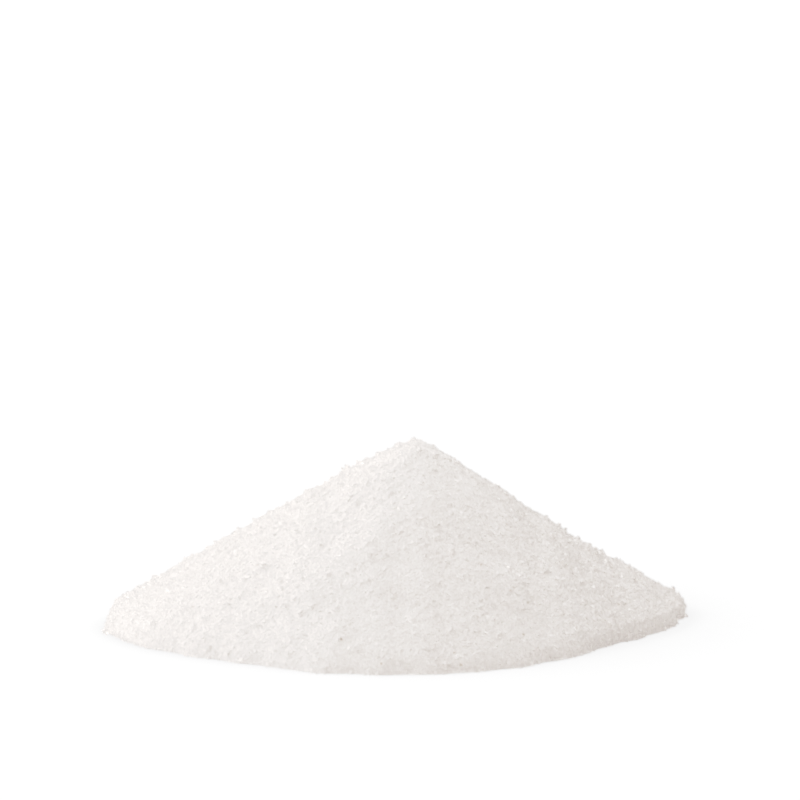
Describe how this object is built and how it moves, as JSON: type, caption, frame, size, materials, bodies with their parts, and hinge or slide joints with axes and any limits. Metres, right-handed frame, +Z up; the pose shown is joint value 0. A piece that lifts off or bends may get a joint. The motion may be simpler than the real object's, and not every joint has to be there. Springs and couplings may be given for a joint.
{
  "type": "heap of sugar",
  "caption": "Loose conical heap of white granulated sugar with gently uneven flanks, a slightly rounded peak off the middle and a blunt, lobed rim.",
  "frame": {"origin": "middle of the footprint's box, on the surface that the heap lies on", "axes": "+Z up, -Y towards the front, +X to the right seen from the front"},
  "size_m": [0.1284, 0.1224, 0.0387],
  "materials": {
    "sugar_crystals": "white granulated sugar: clear, sharp crystals of about half a millimetre that look white in the mass, with fine sparkle"
  },
  "bodies": {
    "root": {"sugar_heap": "sugar_crystals"}
  },
  "joints": []
}
